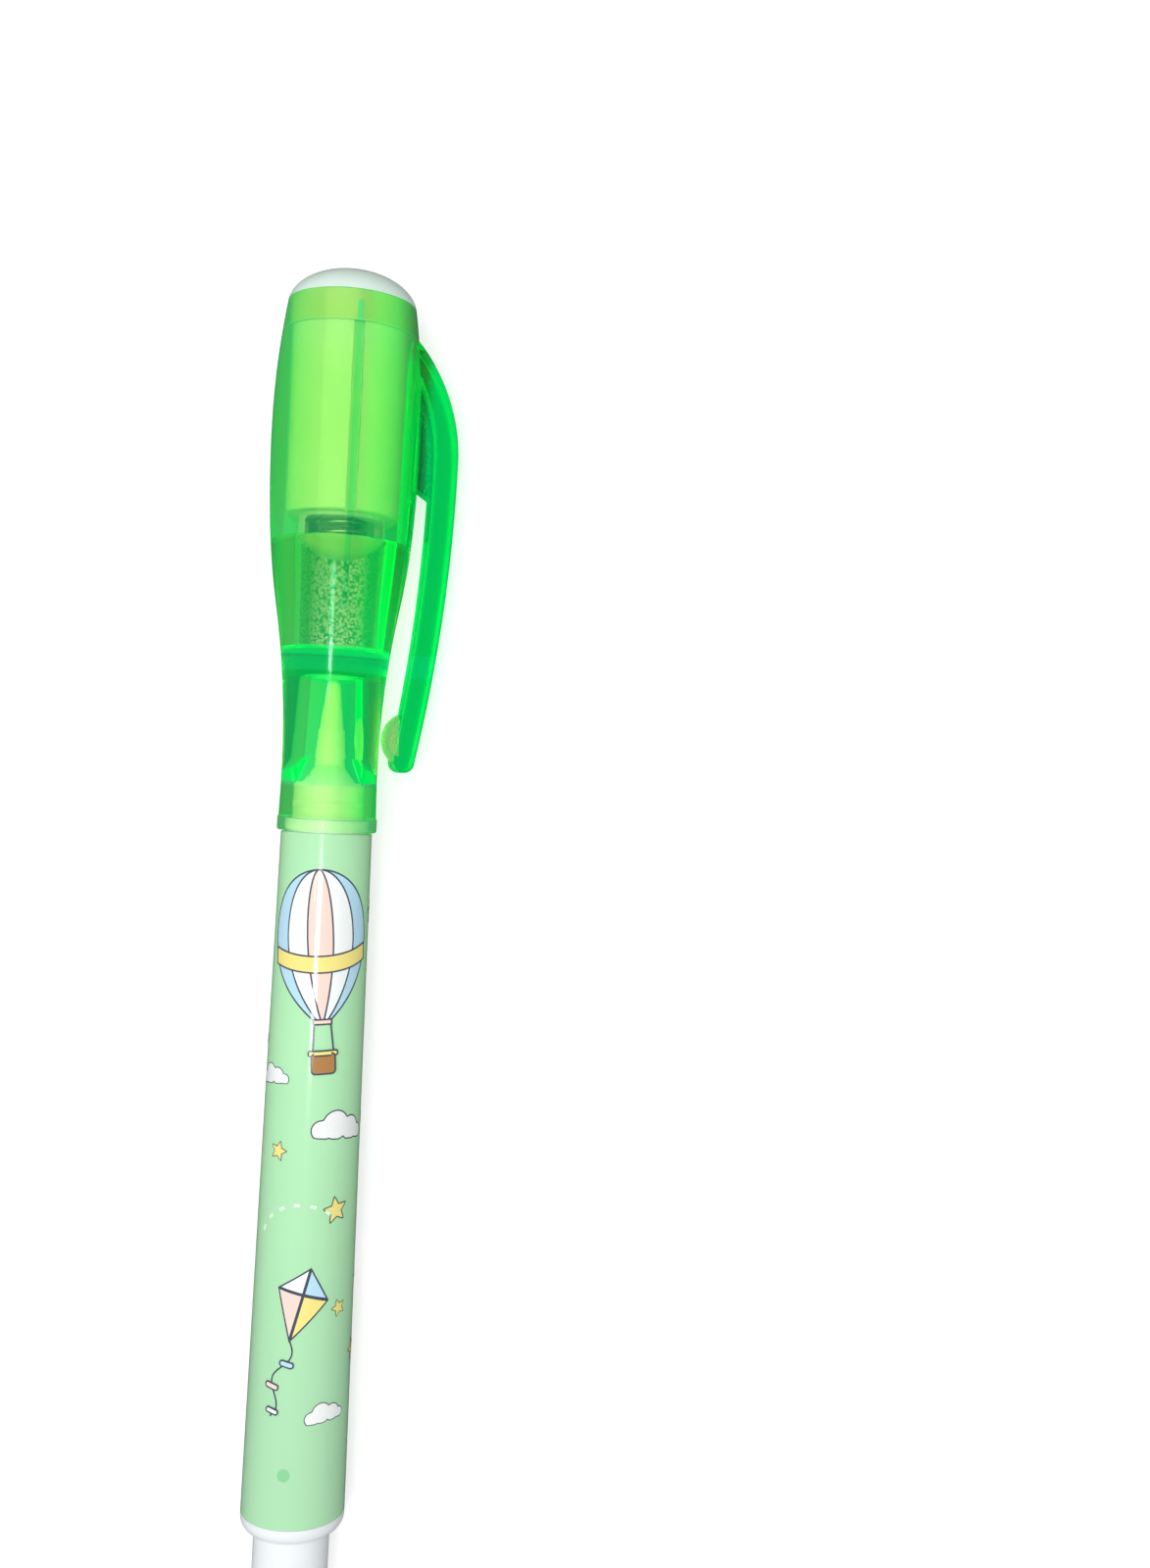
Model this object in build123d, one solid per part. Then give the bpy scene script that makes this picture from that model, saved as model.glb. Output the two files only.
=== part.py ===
from build123d import *
import math
import os

# Pen with an invisible-ink nib and a small lamp in its cap. Sizes are in millimetres.
# The bench axis is +Z, from the tail to the lamp, and zero is the rim of the cap.
# The clip lies toward +X, the key rib toward -Y and the lamp button toward +Y.

# Barrel and its print film
barrel_length = 68.4
barrel_front_d = 8.84
barrel_rear_d = 10.14
barrel_wall = 1.0
film_t = 0.12
film_gap = 0.01
film_inset = 0.05
rim_gap = 0.1

# Nose of the barrel
lip_step = 0.27
lip_length = 1.2
collar_d = 6.94
collar_length = 3.4
collar_round = 0.3
snap_height = 0.09
snap_rise = 1.5
snap_width = 0.7
cone_length = 2.4
nozzle_base_d = 3.2
nozzle_tip_d = 2.6
nozzle_length = 3.35
nose_wall = 0.85
vent_d = 0.55
vent_angle = -147

# Nib and ink core
nib_d = 2.36
nib_shank_d = 1.8
nib_tip_d = 1.4
nib_exposed = 5.1
nib_depth = 9.0
nib_gap = 0.02
core_set = 1.5
core_air = 0.2
core_length = 58.0
wrap_t = 0.1
wrap_gap = 0.01

# Tail plug
head_length = 0.45
head_round = 1.35
post_d = 7.6
post_length = 8.0
post_round = 1.4
plug_wall = 1.1
plug_seat = 0.2
press_gap = 0.02

# Button cells
cell_d = 7.9
cell_h = 3.6
cell_count = 3
cell_cap_d = 5.9
cell_cap_h = 0.45
cell_edge = 0.25
cell_gap = 0.02
cell_room = 0.12

# Lamp tube
tube_wall = 1.63
tube_below = 2.24
tube_edge = 0.3
boss_d = 8.8
boss_straight = 2.0
boss_dome = 2.0
cup_wall = 1.05
cup_floor = 1.6
cup_lip = 1.0
window_cheek = 0.6
window_h = 1.9
window_corner = 0.45
window_drop = 1.25
keyway_depth = 0.4
keyway_angle = 10

# Contact spring
wire_d = 0.45
spring_room = 0.75
spring_turns = 4.25

# Lamp dome and LED
dome_height = 3.4
dome_sink = 0.35
skirt_length = 3.05
skirt_step = 0.2
spigot_past = 0.95
led_d = 5.0
led_flange_d = 5.8
led_flange_h = 1.0
led_length = 8.6
led_recess = 0.1
led_room = 0.05
lead_w = 0.5
lead_pitch = 2.54
lead_frame_h = 4.6
lead_frame_step = 0.6
lead_bend = 0.7
lead_room = 3.05
lead_play = 0.1
die_cup_d = 1.8
die_cup_h = 1.0
die_bowl_d = 1.5
die_floor_d = 0.6
die_bowl_h = 0.5
groove_w = 0.9

# Lamp button
button_w = 3.0
button_l = 5.6
button_rise = 2.66
button_proud = 0.6
button_round = 0.45
button_room = 0.15
flange_edge = 0.8
flange_t = 0.75
flange_room = 0.05
pocket_room = 0.2

# Cap shell
cap_length = 53.05
mouth_wall = 0.65
mouth_room = 0.08
lip_room = 0.2
mouth_fit = 0.05
bead_height = 0.1
bead_length = 1.35
rim_round = 0.25
waist_drop = 0.1
waist_z = 6.7
belly_wall = 1.6
belly_down = 13.05
brow_drop = 0.52
brow_down = 3.75
rim_wall = 0.38
lamp_fit = 0.15
well_fit = 0.2
well_draft = 0.45
ledge_room = 2.4
divider_t = 2.4
nib_room = 0.35
nib_well_d = 4.6
nib_well_base_d = 5.2
well_round = 0.5
rib_angle = 6
rib_height = 0.3
well_rib_height = 0.12
well_rib_foot = 4.3

# Clip
clip_gap = 1.4
clip_t = 2.35
clip_crown_down = 15.05
clip_root_w = 4.8
clip_tip_w = 3.8
clip_tip_gap = 1.32
clip_tip_z = 7.35
clip_tip_t = 2.2
clip_root_down = 2.95
clip_root_h = 3.1
clip_edge = 0.25
web_w = 1.8
web_cap_down = 17.25
web_clip_down = 19.65
pad_rise = 2.25
pad_r = 2.87
pad_clear = 0.27
pad_w = 3.2

# Places along the axis and radii that follow from the sizes
barrel_front = -rim_gap
barrel_rear = -barrel_length
head_r = barrel_rear_d / 2 + film_gap + film_t
lip_r = barrel_front_d / 2 - lip_step
collar_r = collar_d / 2
collar_end = lip_length + collar_length
cone_end = collar_end + cone_length
nozzle_end = cone_end + nozzle_length
snap_z = lip_length + snap_rise
mouth_depth = lip_length + lip_room
nose_bore_r = collar_r - nose_wall
nib_bore_r = nib_shank_d / 2 + nib_gap
core_front = barrel_front - core_set
core_rear = core_front - core_length
wrap_r = barrel_front_d / 2 - barrel_wall - core_air
core_r = wrap_r - wrap_t - wrap_gap
nib_tip = nozzle_end + nib_exposed
nib_foot = core_front - nib_depth

cell_r = cell_d / 2
cell_bore_r = cell_r + cell_room
tube_r = cell_bore_r + tube_wall
boss_r = boss_d / 2
cup_r = boss_r - cup_wall
lamp_bore_r = tube_r + lamp_fit
skirt_bore_r = lamp_bore_r + skirt_step
skirt_r = skirt_bore_r - press_gap
dome_r = skirt_bore_r + rim_wall
led_r = led_d / 2
led_hole_r = led_r + led_room
step_z = cap_length - skirt_length
led_tip = cap_length + dome_height - led_recess
led_base = led_tip - led_length
cell_pitch = cell_h + cell_gap
cells_top = led_base - lead_room
cells_foot = cells_top - cell_count * cell_pitch
tube_foot = cells_foot - tube_below
boss_foot = tube_foot - boss_straight - boss_dome
cup_floor_z = boss_foot + cup_floor
spring_r = cup_r - spring_room - wire_d / 2
ledge_z = tube_foot - ledge_room
button_z = cells_foot + button_rise
flange_r = lamp_bore_r - flange_room
flange_in_r = flange_r - flange_t
groove_r = flange_in_r
lead_r = flange_in_r - lead_play - lead_w / 2

mouth_r = lip_r + mouth_room
cap_mouth_r = mouth_r + mouth_wall
mouth_bore_r = collar_r + snap_height + mouth_fit
waist_r = cap_mouth_r - waist_drop
belly_r = lamp_bore_r + belly_wall
well_top_r = boss_r + well_fit
well_foot_r = well_top_r - well_draft
nib_roof = nib_tip + nib_room
well_floor = nib_roof + divider_t
belly_z = cap_length - belly_down
brow_z = cap_length - brow_down
clip_crown_x = belly_r + clip_gap + clip_t
clip_crown_z = cap_length - clip_crown_down
clip_tip_x = waist_r + clip_tip_gap + clip_tip_t / 2
clip_root_x = lamp_bore_r + belly_wall / 3
clip_root_top = cap_length - clip_root_down
clip_root_foot = clip_root_top - clip_root_h
web_cap_z = cap_length - web_cap_down
web_clip_z = cap_length - web_clip_down
pad_z = clip_tip_z + pad_rise


def turned(*edges):
    return revolve(Plane.XZ * make_face(edges), Axis.Z)


def turned_points(*points):
    return turned(*Polyline(*points, close=True).edges())


def sector(angle, facing, *points):
    face = Plane.XZ * make_face(Polyline(*points, close=True).edges())
    return Rot(0, 0, facing - angle / 2) * revolve(face, Axis.Z, angle)


def barrel_radius(z):
    share = (barrel_front - z) / (barrel_front - barrel_rear)
    return (barrel_front_d + (barrel_rear_d - barrel_front_d) * share) / 2


def bore_radius(z):
    return barrel_radius(z) - barrel_wall


def make_barrel():
    body = turned_points(
        (0, barrel_rear),
        (barrel_radius(barrel_rear), barrel_rear),
        (barrel_radius(barrel_front), barrel_front),
        (lip_r, barrel_front),
        (lip_r, lip_length),
        (collar_r, lip_length),
        (collar_r, collar_end),
        (nozzle_base_d / 2, cone_end),
        (nozzle_tip_d / 2, nozzle_end),
        (0, nozzle_end),
    )
    rounded = body.edges().filter_by(GeomType.CIRCLE).sort_by_distance((collar_r, 0, collar_end))
    body = fillet(rounded[0], collar_round)
    snap = turned(
        ThreePointArc(
            (collar_r, snap_z - snap_width / 2),
            (collar_r + snap_height, snap_z),
            (collar_r, snap_z + snap_width / 2),
        ),
        Polyline(
            (collar_r, snap_z + snap_width / 2),
            (collar_r - nose_wall / 2, snap_z),
            (collar_r, snap_z - snap_width / 2),
        ),
    )
    hollow = turned_points(
        (0, barrel_rear),
        (bore_radius(barrel_rear), barrel_rear),
        (bore_radius(core_front), core_front),
        (nose_bore_r, core_front),
        (nose_bore_r, collar_end - nose_wall),
        (nib_bore_r, cone_end - nose_wall),
        (nib_bore_r, nozzle_end),
        (0, nozzle_end),
    )
    vent_z = (collar_end + cone_end) / 2
    vent = Pos(0, 0, vent_z) * Rot(0, 0, vent_angle) * Rot(0, 90, 0) * Cylinder(
        vent_d / 2, collar_r, align=(Align.CENTER, Align.CENTER, Align.MIN)
    )
    return body + snap - hollow - vent


def make_film():
    inner = barrel_front - film_inset
    return turned_points(
        (barrel_radius(inner) + film_gap, inner),
        (barrel_radius(inner) + film_gap + film_t, inner),
        (head_r, barrel_rear),
        (head_r - film_t, barrel_rear),
    )


def make_tail_plug():
    post_r = post_d / 2
    neck = barrel_rear - head_length - head_round
    tail = neck - post_length
    floor = tail + plug_wall
    spigot_front = bore_radius(core_rear) - press_gap
    spigot_rear = bore_radius(barrel_rear) - press_gap
    hollow_r = core_r - plug_seat
    return turned(
        Line((0, tail), (post_r - post_round, tail)),
        TangentArc((post_r - post_round, tail), (post_r, tail + post_round), tangent=(1, 0)),
        Line((post_r, tail + post_round), (post_r, neck)),
        TangentArc((head_r, barrel_rear - head_length), (post_r, neck), tangent=(0, -1)),
        Polyline(
            (head_r, barrel_rear - head_length),
            (head_r, barrel_rear - press_gap),
            (spigot_rear, barrel_rear - press_gap),
            (spigot_front, core_rear),
            (hollow_r, core_rear),
            (hollow_r, floor),
            (0, floor),
            (0, tail),
        ),
    )


def make_nib():
    tip_r = nib_tip_d / 2
    return turned(
        Polyline(
            (0, nib_foot),
            (nib_shank_d / 2, nib_foot),
            (nib_shank_d / 2, nozzle_end + nib_gap),
            (nib_d / 2, nozzle_end + nib_gap),
            (tip_r, nib_tip - tip_r),
        ),
        TangentArc((tip_r, nib_tip - tip_r), (0, nib_tip), tangent=(0, 1)),
        Line((0, nib_tip), (0, nib_foot)),
    )


def make_core():
    rod = Pos(0, 0, core_rear) * Cylinder(
        core_r, core_length, align=(Align.CENTER, Align.CENTER, Align.MIN)
    )
    hole = Pos(0, 0, nib_foot - nib_gap) * Cylinder(
        nib_bore_r, nib_depth + nib_gap, align=(Align.CENTER, Align.CENTER, Align.MIN)
    )
    return rod - hole


def make_wrap():
    return turned_points(
        (core_r + wrap_gap, core_rear),
        (wrap_r, core_rear),
        (wrap_r, core_front),
        (core_r + wrap_gap, core_front),
    )


def make_cell(foot):
    top = foot + cell_h
    shoulder = top - cell_cap_h
    body = turned_points(
        (0, foot),
        (cell_r, foot),
        (cell_r, shoulder),
        (cell_cap_d / 2, shoulder),
        (cell_cap_d / 2, top),
        (0, top),
    )
    rims = body.edges().filter_by(GeomType.CIRCLE).group_by(SortBy.RADIUS)[-1]
    return fillet(rims, cell_edge)


def make_tube():
    body = turned(
        Polyline((cell_bore_r, step_z), (tube_r, step_z), (tube_r, tube_foot)),
        Polyline((tube_r, tube_foot), (boss_r, tube_foot), (boss_r, boss_foot + boss_dome)),
        TangentArc((0, boss_foot), (boss_r, boss_foot + boss_dome), tangent=(1, 0)),
        Polyline((0, boss_foot), (0, cup_floor_z), (cup_r, cup_floor_z), (cup_r, tube_foot + cup_lip)),
        Polyline((cup_r, tube_foot + cup_lip), (cell_bore_r, tube_foot + cup_lip), (cell_bore_r, step_z)),
    )
    foot_rim = body.edges().filter_by(GeomType.CIRCLE).sort_by_distance((tube_r, 0, tube_foot))[0]
    body = fillet(foot_rim, tube_edge)
    window = Pos(0, 0, tube_foot - window_drop) * extrude(
        Plane.XZ * RectangleRounded(2 * (boss_r - window_cheek), window_h, window_corner), boss_d
    )
    keyway = sector(
        keyway_angle,
        -90,
        (tube_r - keyway_depth, tube_foot),
        (tube_r + keyway_depth, tube_foot),
        (tube_r + keyway_depth, step_z),
        (tube_r - keyway_depth, step_z),
    )
    groove = Pos(0, groove_r / 2, (cells_foot + step_z) / 2) * Box(
        groove_w, groove_r, step_z - cells_foot
    )
    pocket = Pos(0, tube_r, button_z) * Box(
        button_w + 2 * (flange_edge + pocket_room),
        2 * (tube_r - cell_r / 2),
        button_l + 2 * (flange_edge + pocket_room),
    )
    return body - window - keyway - groove - pocket


def make_spring():
    low = cup_floor_z + wire_d / 2
    pitch = (cells_foot - cup_floor_z - wire_d) / spring_turns

    def place(turn):
        angle = 2 * math.pi * turn
        return Vector(spring_r * math.cos(angle), spring_r * math.sin(angle), low + pitch * turn)

    def heading(turn):
        angle = 2 * math.pi * turn
        around = Vector(-math.sin(angle), math.cos(angle), pitch / (2 * math.pi * spring_r))
        return around.normalized()

    # Two arcs per quarter turn, tangent to the helix at both ends and to each other.
    arcs = []
    for step in range(round(spring_turns * 4)):
        start, end = place(step / 4), place((step + 1) / 4)
        out, into = heading(step / 4), heading((step + 1) / 4)
        chord = end - start
        both = out + into
        spread = 2 * (1 - out.dot(into))
        reach = (math.sqrt(chord.dot(both) ** 2 + spread * chord.dot(chord)) - chord.dot(both)) / spread
        middle = (start + end + (out - into) * reach) * 0.5
        arcs.append(TangentArc(start, middle, tangent=out))
        arcs.append(TangentArc(middle, end, tangent=(middle - (start + out * reach)).normalized()))
    points = [arc @ (share / 6) for arc in arcs for share in range(6)]
    half_turn = 24
    gap = min(
        (points[late] - points[early]).length - wire_d
        for late in range(half_turn, len(points))
        for early in range(late - half_turn + 1)
    )
    print("least gap between the turns of the spring", round(gap, 3))
    section = Plane(place(0), z_dir=heading(0)) * Circle(wire_d / 2)
    return sweep(section, Wire(arcs))


def make_dome():
    tall = dome_height + dome_sink
    low = math.asin((dome_sink + press_gap) / tall)
    wide = dome_r / math.cos(math.asin(dome_sink / tall))
    high = math.acos(led_hole_r / wide)
    rim_r = wide * math.cos(low)
    hole_z = cap_length - dome_sink + tall * math.sin(high)
    flange_r_in = led_flange_d / 2 + led_room
    return turned(
        EllipticalCenterArc(
            (0, cap_length - dome_sink),
            wide,
            tall,
            math.degrees(low),
            arc_size=math.degrees(high - low),
        ),
        Polyline(
            (rim_r, cap_length + press_gap),
            (skirt_r, cap_length + press_gap),
            (skirt_r, step_z + press_gap),
            (cell_bore_r - press_gap, step_z + press_gap),
            (cell_bore_r - press_gap, led_base - spigot_past),
            (flange_r_in, led_base - spigot_past),
            (flange_r_in, led_base + led_flange_h + press_gap),
            (led_hole_r, led_base + led_flange_h + press_gap),
            (led_hole_r, hole_z),
        ),
    )


def lead_path(side, frame_top, *points):
    return FilletPolyline(
        (0, side * lead_pitch / 2, led_base + frame_top), *points, radius=lead_bend
    )


def make_lead(path):
    return sweep(Plane(path @ 0, x_dir=(1, 0, 0), z_dir=path % 0) * Rectangle(lead_w, lead_w), path)


def make_short_lead():
    bend_z = cells_top + lead_w / 2
    path = lead_path(
        -1,
        lead_frame_h,
        (0, -lead_pitch / 2, bend_z),
        (0, lead_pitch / 2, bend_z),
    )
    cup = Pos(0, -lead_pitch / 4, led_base + lead_frame_h) * Cylinder(
        die_cup_d / 2, die_cup_h, align=(Align.CENTER, Align.CENTER, Align.MIN)
    )
    bowl = Pos(0, -lead_pitch / 4, led_base + lead_frame_h + die_cup_h) * Cone(
        die_floor_d / 2, die_bowl_d / 2, die_bowl_h, align=(Align.CENTER, Align.CENTER, Align.MAX)
    )
    return make_lead(path) + cup - bowl


def make_long_lead():
    cross_z = led_base - lead_room / 2
    path = lead_path(
        1,
        lead_frame_h + lead_frame_step,
        (0, lead_pitch / 2, cross_z),
        (0, lead_r, cross_z),
        (0, lead_r, button_z - button_l / 2),
    )
    return make_lead(path)


def make_led(leads):
    body = turned(
        Polyline(
            (0, led_base),
            (led_flange_d / 2, led_base),
            (led_flange_d / 2, led_base + led_flange_h),
            (led_r, led_base + led_flange_h),
            (led_r, led_tip - led_r),
        ),
        TangentArc((led_r, led_tip - led_r), (0, led_tip), tangent=(0, 1)),
        Line((0, led_tip), (0, led_base)),
    )
    flat = Pos(0, -led_r, led_base) * Box(
        led_flange_d, led_r, led_flange_h, align=(Align.CENTER, Align.MAX, Align.MIN)
    )
    return body - flat - leads[0] - leads[1]


def oval(width, length, reach):
    face = Plane(origin=(0, 0, button_z), x_dir=(1, 0, 0), z_dir=(0, 1, 0)) * SlotOverall(
        length, width, rotation=90
    )
    return extrude(face, reach)


def make_button(shell_r):
    stem = oval(button_w, button_l, shell_r + button_proud)
    stem = fillet(stem.faces().sort_by(Axis.Y)[-1].edges(), button_round)
    core = Pos(0, 0, button_z) * Cylinder(flange_in_r, 2 * button_l)
    ring = Pos(0, 0, button_z) * Cylinder(flange_r, 2 * button_l) - core
    plate = Pos(0, flange_r, button_z) * Box(
        button_w + 2 * flange_edge, 2 * flange_r, button_l + 2 * flange_edge
    )
    return stem - core + (ring & plate)


def make_clip():
    root_top = (clip_root_x, clip_root_top)
    root_foot = (clip_root_x, clip_root_foot)
    crown_out = (clip_crown_x, clip_crown_z)
    crown_in = (clip_crown_x - clip_t, clip_crown_z)
    tip_out = (clip_tip_x + clip_tip_t / 2, clip_tip_z)
    tip_in = (clip_tip_x - clip_tip_t / 2, clip_tip_z)
    side = make_face(
        [
            TangentArc(crown_out, root_top, tangent=(0, 1)),
            TangentArc(crown_out, tip_out, tangent=(0, -1)),
            ThreePointArc(tip_out, (clip_tip_x, clip_tip_z - clip_tip_t / 2), tip_in),
            TangentArc(crown_in, tip_in, tangent=(0, -1)),
            TangentArc(crown_in, root_foot, tangent=(0, 1)),
            Line(root_foot, root_top),
        ]
    )
    bar = extrude(Plane.XZ * side, clip_root_w, both=True)
    foot = clip_tip_z - clip_tip_t
    plan = make_face(
        Polyline(
            (-clip_tip_w / 2, foot),
            (clip_tip_w / 2, foot),
            (clip_root_w / 2, clip_root_top),
            (-clip_root_w / 2, clip_root_top),
            close=True,
        ).edges()
    )
    bar = bar & extrude(Plane.YZ * plan, 2 * clip_crown_x)
    flanks = bar.faces().filter_by(lambda f: abs(f.normal_at().Y) > 0.9)
    rims = [e for f in flanks for e in f.edges() if e.center().X > clip_root_x + clip_edge]
    bar = fillet(rims, clip_edge)
    mid_x = clip_crown_x - clip_t / 2
    root_mid = (clip_root_x, (clip_root_top + clip_root_foot) / 2)
    web = make_face(
        [
            TangentArc((mid_x, clip_crown_z), root_mid, tangent=(0, 1)),
            Polyline(
                root_mid,
                (clip_root_x, web_cap_z),
                (mid_x, web_clip_z),
                (mid_x, clip_crown_z),
            ),
        ]
    )
    pad_x = waist_r + pad_clear + pad_r
    pad = Pos(pad_x, 0, pad_z) * Sphere(pad_r)
    pad_cut = Pos(clip_tip_x - pad_r, 0, pad_z) * Box(2 * pad_r, pad_w, 2 * pad_r)
    return bar + extrude(Plane.XZ * web, web_w / 2, both=True) + (pad & pad_cut)


def make_shell(swelling):
    bead_r = cap_mouth_r + bead_height
    outside = turned(
        Line((0, 0), (bead_r - rim_round, 0)),
        TangentArc((bead_r - rim_round, 0), (bead_r, rim_round), tangent=(1, 0)),
        Polyline((bead_r, rim_round), (bead_r, bead_length), (cap_mouth_r, bead_length + bead_height)),
        *swelling,
        Polyline((dome_r, cap_length), (0, cap_length), (0, 0)),
    )
    nose_hollow = turned_points(
        (0, 0),
        (mouth_r, 0),
        (mouth_r, mouth_depth),
        (mouth_bore_r, mouth_depth),
        (mouth_bore_r, collar_end + nib_room),
        (nib_well_base_d / 2, cone_end + nib_room),
        (nib_well_d / 2, nib_roof),
        (0, nib_roof),
    )
    roof_rim = nose_hollow.edges().filter_by(GeomType.CIRCLE).sort_by(Axis.Z)[-1]
    nose_hollow = fillet(roof_rim, well_round)
    lamp_hollow = turned_points(
        (0, well_floor),
        (well_foot_r, well_floor),
        (well_top_r, ledge_z),
        (lamp_bore_r, ledge_z),
        (lamp_bore_r, step_z),
        (skirt_bore_r, step_z),
        (skirt_bore_r, cap_length),
        (0, cap_length),
    )
    floor_rim = lamp_hollow.edges().filter_by(GeomType.CIRCLE).sort_by(Axis.Z)[0]
    lamp_hollow = fillet(floor_rim, well_round)
    bore_rib = sector(
        rib_angle,
        -90,
        (lamp_bore_r - rib_height, ledge_z),
        (lamp_bore_r + rib_height, ledge_z),
        (lamp_bore_r + rib_height, step_z),
        (lamp_bore_r - rib_height, step_z),
    )
    rib_foot_r = well_foot_r + well_draft * well_rib_foot / (ledge_z - well_floor)
    well_rib = sector(
        rib_angle,
        -90,
        (rib_foot_r - well_rib_height, well_floor + well_rib_foot),
        (rib_foot_r + rib_height, well_floor + well_rib_foot),
        (well_top_r + rib_height, ledge_z),
        (well_top_r - well_rib_height, ledge_z),
    )
    button_hole = oval(button_w + 2 * button_room, button_l + 2 * button_room, 2 * belly_r)
    shell = outside + make_clip() - nose_hollow - lamp_hollow
    return shell + bore_rib + well_rib - button_hole


def radius_on(edge, z):
    low, high = 0.0, 1.0
    for step in range(40):
        middle = (low + high) / 2
        if (edge @ middle).Y > z:
            low = middle
        else:
            high = middle
    return (edge @ low).X


rise = belly_z - waist_z
swell = belly_r - waist_r
hip = (waist_r + 0.883 * swell, waist_z + 0.715 * rise)
flank = (waist_r + 0.528 * swell, waist_z + 0.481 * rise)
belly_arc = TangentArc((belly_r, belly_z), hip, tangent=(0, -1))
flank_arc = TangentArc(hip, flank, tangent=belly_arc % 1)
waist_arc = TangentArc(flank, (waist_r, waist_z), tangent=flank_arc % 1)
mouth_arc = TangentArc((waist_r, waist_z), (cap_mouth_r, bead_length + bead_height), tangent=(0, -1))
brow_arc = TangentArc((belly_r, belly_z), (belly_r - brow_drop, brow_z), tangent=(0, 1))
rim_arc = TangentArc((belly_r - brow_drop, brow_z), (dome_r, cap_length), tangent=brow_arc % 1)
swelling = [mouth_arc, waist_arc, flank_arc, belly_arc, brow_arc, rim_arc]

leads = [make_short_lead(), make_long_lead()]
nodes = {
    "barrel": make_barrel(),
    "print_film": make_film(),
    "tail_plug": make_tail_plug(),
    "fibre_nib": make_nib(),
    "ink_core": make_core(),
    "ink_core_wrap": make_wrap(),
    "cap_shell": make_shell(swelling),
    "lamp_dome": make_dome(),
    "lamp_tube": make_tube(),
    "uv_led": make_led(leads),
    "led_short_lead": leads[0],
    "led_long_lead": leads[1],
    "contact_spring": make_spring(),
    "lamp_button": make_button(radius_on(belly_arc, button_z)),
}
for number in range(cell_count):
    nodes[f"button_cell_{number + 1}"] = make_cell(cells_foot + number * cell_pitch)

# The pen lies on a table: on the belly of the cap, the head of the tail plug and the edge of the clip.
lean = math.atan((belly_r - head_r) / (belly_z - barrel_rear + head_length))
crown_height = belly_r + (clip_crown_z - belly_z) * math.tan(lean) - clip_edge
crown_share = (clip_crown_z - clip_tip_z) / (clip_root_top - clip_tip_z)
crown_half_w = (clip_tip_w + (clip_root_w - clip_tip_w) * crown_share) / 2
edge_x = clip_crown_x - clip_edge
edge_y = crown_half_w - clip_edge
roll = math.asin(crown_height / math.hypot(edge_x, edge_y)) - math.atan2(edge_y, edge_x)
along = Vector(math.cos(lean), 0, math.sin(lean))
clip_way = Vector(math.sin(roll) * math.sin(lean), -math.cos(roll), -math.sin(roll) * math.cos(lean))
lying = Location(Plane(origin=(0, 0, 0), x_dir=clip_way, z_dir=along))
box = Compound(children=[lying * shape for shape in nodes.values()]).bounding_box()
rest = Pos(-(box.min.X + box.max.X) / 2, -(box.min.Y + box.max.Y) / 2, -box.min.Z) * lying

os.makedirs("parts", exist_ok=True)
for name, shape in nodes.items():
    export_step(rest * shape, f"parts/{name}.step")
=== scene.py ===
import math
import bpy
from mathutils import Matrix, Vector


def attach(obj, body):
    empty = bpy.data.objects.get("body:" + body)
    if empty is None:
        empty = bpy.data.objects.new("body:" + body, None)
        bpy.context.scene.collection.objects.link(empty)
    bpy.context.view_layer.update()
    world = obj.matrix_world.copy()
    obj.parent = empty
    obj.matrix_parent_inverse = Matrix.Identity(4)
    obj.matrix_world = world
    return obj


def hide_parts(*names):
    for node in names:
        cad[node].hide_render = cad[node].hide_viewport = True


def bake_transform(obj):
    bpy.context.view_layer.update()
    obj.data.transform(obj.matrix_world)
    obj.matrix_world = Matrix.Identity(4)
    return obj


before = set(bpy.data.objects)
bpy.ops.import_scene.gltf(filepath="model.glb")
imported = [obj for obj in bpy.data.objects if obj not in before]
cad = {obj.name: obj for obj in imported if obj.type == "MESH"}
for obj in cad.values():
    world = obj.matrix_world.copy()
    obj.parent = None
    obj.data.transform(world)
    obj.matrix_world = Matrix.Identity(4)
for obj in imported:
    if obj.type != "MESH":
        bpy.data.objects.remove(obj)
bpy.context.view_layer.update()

scene = bpy.context.scene

# how the pen lies: the middle of the cap's rim, the way to the lamp and the way to the clip
penLie = {
    "rim": (0.0109473, 0.0016576, 0.0068102),
    "lampWay": (0.999786, 0.0, 0.020666),
    "clipWay": (0.010216, -0.869284, -0.494207),
}
lampWay = Vector(penLie["lampWay"]).normalized()
clipWay = Vector(penLie["clipWay"]).normalized()
sideWay = lampWay.cross(clipWay)
rim = Vector(penLie["rim"])
benchTurn = Matrix((clipWay, sideWay, lampWay)).transposed()  # bench axes as columns


def fromBench(x, y, z):  # bench millimetres to the frame's metres
    return rim + benchTurn @ Vector((x, y, z)) * 0.001


# camera, from the photo's perspective
lensView = {
    "focal": 1558.0,  # pixels, on an image 1600 high
    "imageHigh": 1600.0,
    "rimSeen": (-25.114, -4.766, 154.46),  # right, up and away from the lens, mm
    "tiltDeg": 2.88,  # the pen leans right in the image
    "turnDeg": 106.2,  # image normal, from the clip round the axis
}
turn = math.radians(lensView["turnDeg"])
tilt = math.radians(lensView["tiltDeg"])
toLens = clipWay * math.cos(turn) - sideWay * math.sin(turn)
across = lampWay.cross(toLens)
camRight = across * math.cos(tilt) + lampWay * math.sin(tilt)
camUp = lampWay * math.cos(tilt) - across * math.sin(tilt)
seenX, seenY, seenZ = lensView["rimSeen"]
camSpot = rim - (camRight * seenX + camUp * seenY - toLens * seenZ) * 0.001
camData = bpy.data.cameras.new("photoCamera")
camData.sensor_width = 36.0
camData.lens = camData.sensor_width * lensView["focal"] / lensView["imageHigh"]
camData.clip_start = 0.005
camData.clip_end = 20.0
photoCamera = bpy.data.objects.new("photoCamera", camData)
scene.collection.objects.link(photoCamera)
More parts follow.
